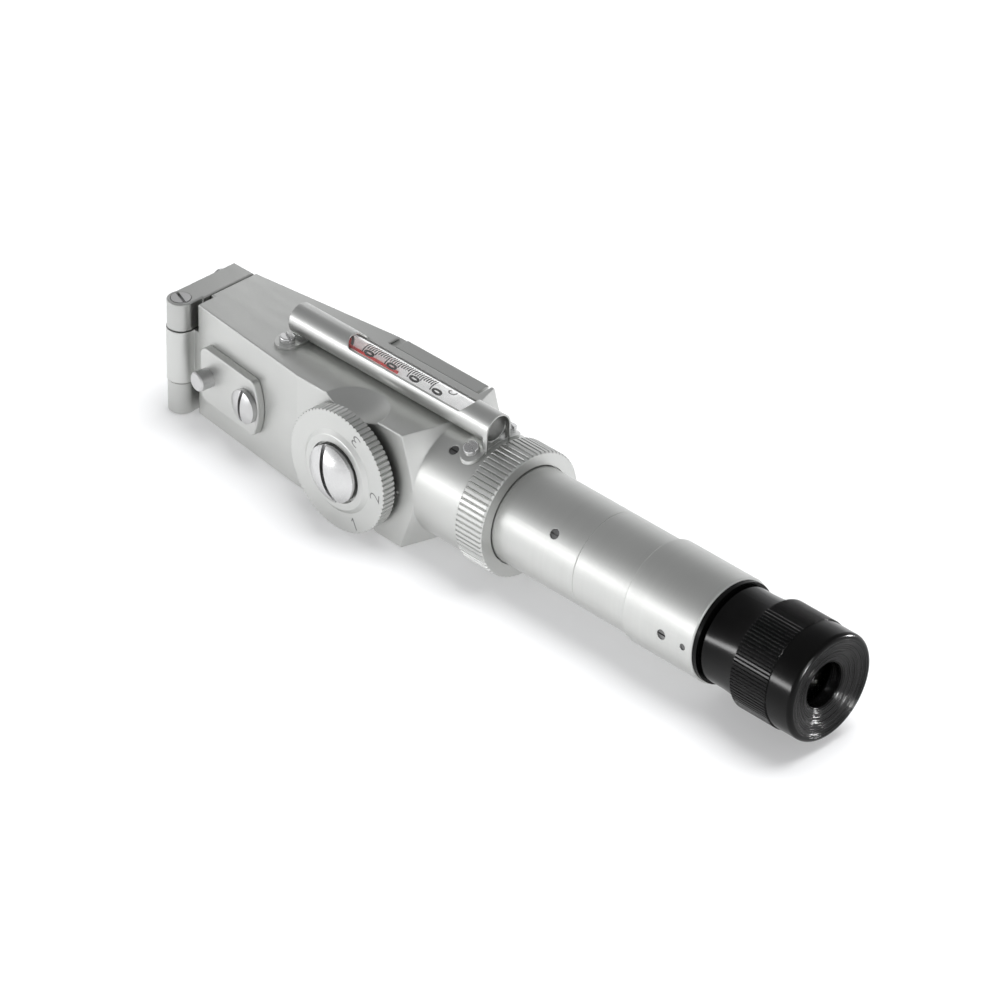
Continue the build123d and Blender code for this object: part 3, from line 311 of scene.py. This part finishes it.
blackSet = {
    "grain": 3800.0,
    "rub": 130.0,
    "worn": (0.48, 0.72),   # the rubbing shows between these values of its noise
    "lighter": 1.8,
    "rubRough": 0.14,
    "bump": 0.06,
    "relief": 0.00003,
}


def blackFinish(name, s, value, rough, shine, metal=0.0, edge=None):
    # black plastic or anodised metal with faint rubbing
    f = Finish(name)
    spot = f.place()
    grain = f.noise(spot, s["grain"], *fineNoise)
    rub = f.noise(spot, s["rub"], *rubNoise)
    worn = f.node("ShaderNodeMapRange", values={
        "Value": rub, "From Min": s["worn"][0], "From Max": s["worn"][1],
        "To Min": 0.0, "To Max": 1.0})
    colour = f.mix(worn, grey(value), grey(value * s["lighter"]))
    return f.surface(colour=colour, metal=metal,
                     rough=rough + (rub - noiseMean) * s["rubRough"],
                     specular=shine, normal=f.bump(grain, s["bump"], s["relief"], edge))


grooveSet = {
    "value": 0.0015,
    "lighter": 1.8,
    "rough": 0.14,
    "rubRough": 0.1,
    "shine": 0.15,
    "rings": 4000.0,
    "rub": 160.0,
    "bump": 1.0,
    "relief": 0.0003,
    "edge": 0.00025,
}


def grooveBlack(name, s):
    # moulded black face with fine rings round the optical axis
    f = Finish(name)
    x, y, z = f.axes(f.place())
    out = (y * y + z * z) ** 0.5
    along = f.node("ShaderNodeCombineXYZ", values={"X": out, "Y": x})
    rings = f.noise(along, s["rings"], *ringNoise)
    rub = f.noise(f.place(), s["rub"], *rubNoise)
    colour = f.mix(rub, grey(s["value"]), grey(s["value"] * s["lighter"]))
    return f.surface(colour=colour, rough=s["rough"] + (rub - noiseMean) * s["rubRough"],
                     specular=s["shine"],
                     normal=f.bump(rings, s["bump"], s["relief"], s["edge"]))


clearSet = {
    "colour": (0.93, 0.97, 0.98, 1),
    "ior": 1.5,
    "haze": 90.0,
    "hazeRough": 0.05,
}


def clearGlass(name, s):
    f = Finish(name)
    haze = f.noise(f.place(), s["haze"], *cloudNoise)
    return f.surface(colour=s["colour"], rough=haze * s["hazeRough"], glass=1.0, ior=s["ior"])


thinSet = {
    "colour": grey(0.9),
    "rough": 0.04,
    "shine": 1.0,
    "body": 0.035,          # share of the wall that isn't see-through
    "haze": 700.0,
    "hazeRough": 0.08,
    "hazeBody": 0.06,
}


def thinGlass(name, s):
    # mostly see-through, so that light falls on what lies behind it
    f = Finish(name)
    haze = f.noise(f.place(), s["haze"], *screwNoise)
    return f.surface(colour=s["colour"], rough=s["rough"] + haze * s["hazeRough"],
                     specular=s["shine"],
                     alpha=s["body"] + (haze - noiseMean) * s["hazeBody"])


plainSet = {
    "cloudRough": 0.15,
    "bump": 0.08,
    "relief": 0.00003,
}


def plainFinish(name, s, light, dark, rough, scale, **more):
    f = Finish(name)
    cloud = f.noise(f.place(), scale, *cloudNoise)
    return f.surface(colour=f.mix(cloud, dark, light),
                     rough=rough + (cloud - noiseMean) * s["cloudRough"],
                     normal=f.bump(cloud, s["bump"], s["relief"]), **more)


housingMetal = blastedAluminium("housingMetal", blastedSet)
lidMetal = blastedAluminium("lidMetal", dict(
    blastedSet, light=grey(0.57, lightTint), dark=grey(0.49, darkTint)))
guardMetal = blastedAluminium("guardMetal", dict(blastedSet, rough=0.36, edge=0.00025))
tubeMetal = turnedAluminium("tubeMetal", turnedSet)
ringMetal = turnedAluminium("ringMetal", dict(turnedSet, rough=0.38, edge=0.00012))
dialMetal = facedAluminium("dialMetal", dialSet)
screwMetal = screwSteel("screwMetal", steelSet, 0.72, 0.26)
pinMetal = screwSteel("pinMetal", steelSet, 0.62, 0.32)
blackSteel = blackFinish("blackSteel", blackSet, 0.16, 0.34, 0.5, metal=1.0)
blackMetal = blackFinish("blackMetal", blackSet, 0.002, 0.26, 0.12)
eyecupBlack = blackFinish("eyecupBlack", blackSet, 0.0015, 0.18, 0.13, edge=0.00016)
guardBlack = grooveBlack("guardBlack", grooveSet)
bushBrass = plainFinish("bushBrass", plainSet, (0.72, 0.52, 0.22, 1), (0.6, 0.42, 0.17, 1),
                        0.35, 300, metal=1.0)
opticalGlass = clearGlass("opticalGlass", clearSet)
tubeGlass = thinGlass("tubeGlass", thinSet)
seatRubber = plainFinish("seatRubber", plainSet, grey(0.05), grey(0.03), 0.6, 400)
# white backing with a faint painted glow: emission 0.16 brightens it where the thermometer
# guard shades it
backingPaintedGlow = plainFinish("backingPaintedGlow", plainSet, grey(0.9), grey(0.84), 0.45, 200,
                           glow=grey(1.0), glowStrength=0.16)
liquidRed = plainFinish("liquidRed", plainSet, (0.7, 0.02, 0.015, 1), (0.6, 0.015, 0.01, 1),
                        0.3, 200)
inkBlack = plainFinish("inkBlack", plainSet, grey(0.006), grey(0.004), 0.6, 500, specular=0.2)
inkGrey = plainFinish("inkGrey", plainSet, grey(0.24), grey(0.16), 0.6, 900)

finishOf = {
    "housing_metal": housingMetal, "guard_metal": guardMetal, "tube_metal": tubeMetal,
    "ring_metal": ringMetal, "dial_metal": dialMetal, "shutter_metal": housingMetal,
    "screw_steel": screwMetal, "pin_steel": pinMetal, "black_steel": blackSteel,
    "black_metal": blackMetal, "eyecup_plastic": eyecupBlack, "bush_brass": bushBrass,
    "optical_glass": opticalGlass, "clear_glass": tubeGlass, "seat_rubber": seatRubber,
    "white_backing": backingPaintedGlow, "red_liquid": liquidRed,
}
for entry in frame["record"]["subparts"]:
    piece = nodes[entry["node"]]
    for slot in piece.material_slots:
        slot.material = finishOf[entry["material_slot"]]
for name, finish in (("eye_guard", guardBlack), ("lid_frame", lidMetal)):
    for slot in nodes[name].material_slots:
        slot.material = finish
print("finishes assigned")


# printed marks

def addPiece(name, bm, finish, body):
    bmesh.ops.recalc_face_normals(bm, faces=bm.faces)
    mesh = bpy.data.meshes.new(name)
    bm.to_mesh(mesh)
    bm.free()
    mesh.materials.append(finish)
    piece = bpy.data.objects.new(name, mesh)
    bpy.context.scene.collection.objects.link(piece)
    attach(piece, body)
    return piece


glyphSet = {
    "resolution": 4,
    "weld": 1e-4,           # of the letter's size
}


def glyphShape(text, height, width, thick, bold=0.0):
    # one character, centred on the origin and facing +Z
    curve = bpy.data.curves.new("glyph", "FONT")
    curve.body = text
    curve.size = 1.0
    curve.offset = bold
    curve.extrude = 0.5
    curve.resolution_u = glyphSet["resolution"]
    holder = bpy.data.objects.new("glyph", curve)
    bpy.context.scene.collection.objects.link(holder)
    ready = holder.evaluated_get(bpy.context.evaluated_depsgraph_get())
    bm = bmesh.new()
    bm.from_mesh(bpy.data.meshes.new_from_object(ready))
    bpy.data.objects.remove(holder)
    bmesh.ops.remove_doubles(bm, verts=bm.verts, dist=glyphSet["weld"])
    low = [min(v.co[i] for v in bm.verts) for i in range(3)]
    high = [max(v.co[i] for v in bm.verts) for i in range(3)]
    for v in bm.verts:
        for i, size in enumerate((width, height, thick)):
            v.co[i] = (v.co[i] - (low[i] + high[i]) / 2) / (high[i] - low[i]) * size
    return bm


def joinInto(bm, part):
    # put the verts and faces of part into bm
    mesh = bpy.data.meshes.new("join")
    part.to_mesh(mesh)
    part.free()
    bm.from_mesh(mesh)
    bpy.data.meshes.remove(mesh)


def flatBar(width, height, thick, cuts=0):
    # a bar centred on the origin, with cuts across it where it gets bent
    bm = bmesh.new()
    bmesh.ops.create_cube(bm, size=1.0)
    if cuts:
        along = [e for e in bm.edges if e.verts[0].co.x != e.verts[1].co.x]
        bmesh.ops.subdivide_edges(bm, edges=along, cuts=cuts, use_grid_fill=True)
    bmesh.ops.scale(bm, vec=(width, height, thick), verts=bm.verts)
    return bm


digitSet = {
    "centre": (shoulderX - 0.0165, -0.0198),
    "places": (("3", 60.9, 0.0127), ("2", -5.1, 0.0127), ("1", -63.2, 0.0134)),
    "height": 0.0031,
    "width": 0.0022,
    "bold": -0.018,
    "line": 0.0003,         # stroke of the 1
    "flag": 0.0010,
    "flagTurn": -42,
    "thick": 0.00004,
}


def digitOne(s):
    # the font's 1 is a plain bar, so its stem and flag are drawn
    bm = flatBar(s["line"], s["height"], s["thick"])
    flag = flatBar(s["line"], s["flag"], s["thick"])
    turn = math.radians(s["flagTurn"])
    bmesh.ops.rotate(flag, verts=flag.verts, cent=(0, 0, 0),
                     matrix=Matrix.Rotation(turn, 3, "Z"))
    bmesh.ops.translate(flag, verts=flag.verts, vec=(
        math.sin(turn) * s["flag"] / 2, (s["height"] - math.cos(turn) * s["flag"]) / 2, 0))
    joinInto(bm, flag)
    return bm


def dialDigits(s):
    # digits on the dial's flat rim, tops towards its centre
    bm = bmesh.new()
    x, y = s["centre"]
    for text, angle, radius in s["places"]:
        glyph = (digitOne(s) if text == "1" else
                 glyphShape(text, s["height"], s["width"], s["thick"], s["bold"]))
        turn = math.radians(angle)
        out = Vector((math.cos(turn), 0, math.sin(turn)))
        right = Vector((-math.sin(turn), 0, math.cos(turn)))
        for v in glyph.verts:
            v.co = (Vector((x, y, 0)) + out * (radius - v.co.y)
                    + right * v.co.x - Vector((0, v.co.z, 0)))
        joinInto(bm, glyph)
    addPiece("dial_digits", bm, inkGrey, "dial")


dialDigits(digitSet)


scaleSet = {
    "axis": (-0.00117, 0.01937),       # middle of the thermometer tube in Y and Z
    "radius": 0.00286,
    "first": shoulderX - 0.0257,
    "pitch": 0.00075,
    "count": 31,
    "middleEvery": 5,
    "longEvery": 10,
    "cuts": 7,
    "far": -20.0,                      # degrees from the top, towards the near side
    "ends": {"small": 19.0, "middle": 29.0, "long": 44.0},
    "line": 0.00035,
    "thick": 0.00003,
    "zeroAngle": 35.5,
    "zeroStep": 0.0021,                # from a long mark to the middle of its zero
    "zeroSize": (0.0033, 0.0015),
    "zeroBold": 0.05,
    "unitPlace": (shoulderX + 0.0022, -2.0),
    "unitSize": (0.0024, 0.0015),
}


def ontoTube(bm, s, along, angle):
    # wrap a flat shape round the tube: its top points to -X, its face outwards
    for v in bm.verts:
        turn = math.radians(angle) - v.co.x / s["radius"]
        reach = s["radius"] + v.co.z
        v.co = (along - v.co.y,
                s["axis"][0] - reach * math.sin(turn),
                s["axis"][1] + reach * math.cos(turn))


def thermometerScale(s):
    bm = bmesh.new()
    for i in range(s["count"]):
        kind = ("long" if i % s["longEvery"] == 0 else
                "middle" if i % s["middleEvery"] == 0 else "small")
        along = s["first"] + i * s["pitch"]
        reach = math.radians(s["ends"][kind] - s["far"]) * s["radius"]
        mark = flatBar(reach, s["line"], s["thick"], s["cuts"])
        ontoTube(mark, s, along, (s["ends"][kind] + s["far"]) / 2)
        joinInto(bm, mark)
        if kind == "long":
            zero = glyphShape("0", *s["zeroSize"], s["thick"], s["zeroBold"])
            ontoTube(zero, s, along + s["zeroStep"], s["zeroAngle"])
            joinInto(bm, zero)
    unit = glyphShape("C", *s["unitSize"], s["thick"])
    ontoTube(unit, s, *s["unitPlace"])
    joinInto(bm, unit)
    addPiece("thermometer_scale", bm, inkBlack, "housing")


thermometerScale(scaleSet)
print("marks printed")


# cheese head screws of the thermometer guard

screwSet = {
    "head": 0.0019,
    "shank": 0.00095,
    "depth": 0.0019,        # shank below the seat
    "lug": 0.0008,
    "height": 0.0015,
    "slot": 0.0006,
    "slotDepth": 0.0008,
    "slotTurn": -23.0,
    "round": 0.00032,
    "arc": 0.3,             # inset of the rounding's middle, in its radii
    "sides": 40,
    "weld": 1e-7,
    "flatSeat": (shoulderX - 0.0468, -0.0072, 0.0155),
    "neckSeats": (-0.006, 0.005),
    "neckX": shoulderX + 0.0142,
    "neckRadius": 0.01505,
}


def turnedShape(s, outline):
    # spin an outline of (radius, height) points round Z
    bm = bmesh.new()
    verts = [bm.verts.new((r, 0, z)) for r, z in outline]
    for a, b in zip(verts, verts[1:]):
        bm.edges.new((a, b))
    bmesh.ops.spin(bm, geom=bm.verts[:] + bm.edges[:], cent=(0, 0, 0), axis=(0, 0, 1),
                   angle=math.tau, steps=s["sides"], use_merge=True)
    bmesh.ops.remove_doubles(bm, verts=bm.verts, dist=s["weld"])
    return bm


def slottedScrew(s):
    top = s["lug"] + s["height"]
    floor = top - s["slotDepth"]
    head, shank = s["head"], s["shank"]
    r = s["round"]
    inset = r * s["arc"]
    lower = turnedShape(s, [(0, -s["depth"]), (shank, -s["depth"]), (shank, s["lug"]),
                            (head, s["lug"]), (head, floor), (0, floor)])
    for side in (-1, 1):
        half = turnedShape(s, [(0, floor), (head, floor), (head, top - r),
                               (head - inset, top - inset), (head - r, top), (0, top)])
        cut = bmesh.ops.bisect_plane(
            half, geom=half.verts[:] + half.edges[:] + half.faces[:],
            plane_co=(0, side * s["slot"] / 2, 0), plane_no=(0, -side, 0), clear_outer=True)
        rim = [e for e in cut["geom_cut"] if isinstance(e, bmesh.types.BMEdge)]
        bmesh.ops.contextual_create(half, geom=rim)
        joinInto(lower, half)
    bmesh.ops.rotate(lower, verts=lower.verts, cent=(0, 0, 0),
                     matrix=Matrix.Rotation(math.radians(s["slotTurn"]), 3, "Z"))
    return lower


def screwSeats(s):
    # places and outward directions of the three lug screws
    seats = [(s["flatSeat"], math.pi / 2)]
    for y in s["neckSeats"]:
        angle = math.acos(y / s["neckRadius"])
        seats.append(((s["neckX"], y, s["neckRadius"] * math.sin(angle)), angle))
    return seats


def guardScrews(s):
    bm = bmesh.new()
    for place, angle in screwSeats(s):
        one = slottedScrew(s)
        lean = Matrix.Rotation(angle - math.pi / 2, 4, "X")
        bmesh.ops.transform(one, matrix=Matrix.Translation(place) @ lean, verts=one.verts)
        joinInto(bm, one)
    piece = addPiece("guard_screw_set", bm, screwMetal, "housing")
    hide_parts("guard_screws")


guardScrews(screwSet)
print("guard screws made")


# floor, background and lights

floorSet = {
    "level": -0.0159,
    "size": 6.0,
    "colour": (0.87, 0.875, 0.885, 1),
    "seenLift": 0.30,       # share of plain white that the camera sees in the floor
    "mirroredLift": 0.45,   # and that metal and glass see
    "near": 0.35,           # from here to far the floor turns plain white
    "far": 0.9,
}


def layFloor(s):
    bm = bmesh.new()
    bmesh.ops.create_grid(bm, x_segments=1, y_segments=1, size=s["size"])
    bmesh.ops.translate(bm, verts=bm.verts, vec=(shoulderX, 0, s["level"]))
    mesh = bpy.data.meshes.new("floor")
    bm.to_mesh(mesh)
    bm.free()
    floor = bpy.data.objects.new("floor", mesh)
    bpy.context.scene.collection.objects.link(floor)
    f = Finish("floorWhite")
    paths = f.node("ShaderNodeLightPath").socket.node.outputs
    mirrored = Wire(f, paths["Is Glossy Ray"]) + Wire(f, paths["Is Transmission Ray"])
    x, y = f.axes(f.place(move=(-shoulderX, 0, 0)))[:2]
    away = f.node("ShaderNodeMapRange", {"interpolation_type": "SMOOTHSTEP"}, {
        "Value": (x * x + y * y) ** 0.5, "From Min": s["near"], "From Max": s["far"],
        "To Min": s["seenLift"], "To Max": 1.0})
    lift = Wire(f, paths["Is Camera Ray"]) * away + mirrored * s["mirroredLift"]
    shaded = f.node("ShaderNodeBsdfDiffuse", values={"Color": s["colour"]})
    glow = f.node("ShaderNodeEmission", values={"Color": white, "Strength": 1.0})
    both = f.node("ShaderNodeMixShader", values={0: lift, 1: shaded, 2: glow})
    f.node("ShaderNodeOutputMaterial", values={"Surface": both})
    mesh.materials.append(f.data)


worldSet = {
    "low": 0.12,            # height in the sky where the bright band ends
    "high": 0.72,
    "band": 1.0,
    "zenith": 0.33,
    "colour": (0.985, 0.99, 1, 1),
}


def lightWorld(s):
    world = bpy.data.worlds.new("studio")
    bpy.context.scene.world = world
    f = Finish("studio", world)
    paths = f.node("ShaderNodeLightPath").socket.node.outputs
    seen = Wire(f, paths["Is Camera Ray"]) + Wire(f, paths["Is Transmission Ray"])
    height = f.axes(f.node("ShaderNodeTexCoord", output="Generated"))[2]
    dim = f.node("ShaderNodeMapRange", {"interpolation_type": "SMOOTHSTEP"}, {
        "Value": height, "From Min": s["low"], "From Max": s["high"],
        "To Min": s["band"], "To Max": s["zenith"]})
    plain = f.node("ShaderNodeBackground", values={"Color": white, "Strength": 1.0})
    room = f.node("ShaderNodeBackground", values={"Color": s["colour"], "Strength": dim})
    both = f.node("ShaderNodeMixShader", values={0: seen, 1: room, 2: plain})
    f.node("ShaderNodeOutputWorld", values={"Surface": both})


eyepieceNodes = ("eyecup", "eye_guard", "eye_lens", "eye_lens_cell")

lampSet = [
    # name, place, aim, width and height, energy, what it lights
    ("topSoftbox", (shoulderX + 0.12, 0.31, 1.2), (shoulderX, 0, 0), (0.9, 0.9), 20.0, "dull"),
    ("nearStrip", (-0.86, -1.05, 0.16), (-0.02, 0, 0), (0.9, 0.16), 2.3, "all"),
    ("rightStrip", (1.06, -0.42, 0.40), (shoulderX, 0, 0), (0.4, 0.10), 0.62, "all"),
    ("sheenCard", (-0.262, 0.078, 0.082), (-0.192, 0.006, 0.0155), (0.035, 0.035), 0.0035,
     "shiny"),
    ("eyepieceStrip", (-0.80, -1.08, 0.10), (0.0, 0, 0), (0.9, 0.17), 12.0, "eyepiece"),
    ("eyepieceTop", (1.00, -0.32, 0.62), (0.0, 0, 0), (0.7, 0.12), 7.0, "eyepiece"),
    ("eyepieceRight", (1.03, 0.02, 0.07), (0.0, 0, 0), (0.12, 0.12), 13.0, "eyepiece"),
    ("eyepieceBack", (0.38, 0.85, 0.05), (0.0, 0, 0), (0.12, 0.12), 13.0, "eyepiece"),
]


def hangLamps(lamps):
    eyepiece = bpy.data.collections.new("eyepieceOnly")
    for name in eyepieceNodes:
        eyepiece.objects.link(nodes[name])
    for name, place, aim, size, energy, lights in lamps:
        lamp = bpy.data.lights.new(name, "AREA")
        lamp.shape = "RECTANGLE"
        lamp.size, lamp.size_y = size
        lamp.energy = energy
        holder = bpy.data.objects.new(name, lamp)
        holder.visible_camera = False
        holder.visible_glossy = lights != "dull"
        holder.visible_diffuse = lights in ("all", "dull")
        if lights == "eyepiece":
            holder.light_linking.receiver_collection = eyepiece
        look = Vector(aim) - Vector(place)
        holder.matrix_world = (Matrix.Translation(place)
                               @ look.to_track_quat("-Z", "Y").to_matrix().to_4x4())
        bpy.context.scene.collection.objects.link(holder)


layFloor(floorSet)
lightWorld(worldSet)
hangLamps(lampSet)
bpy.context.scene.view_settings.view_transform = "Standard"
print("studio lit")
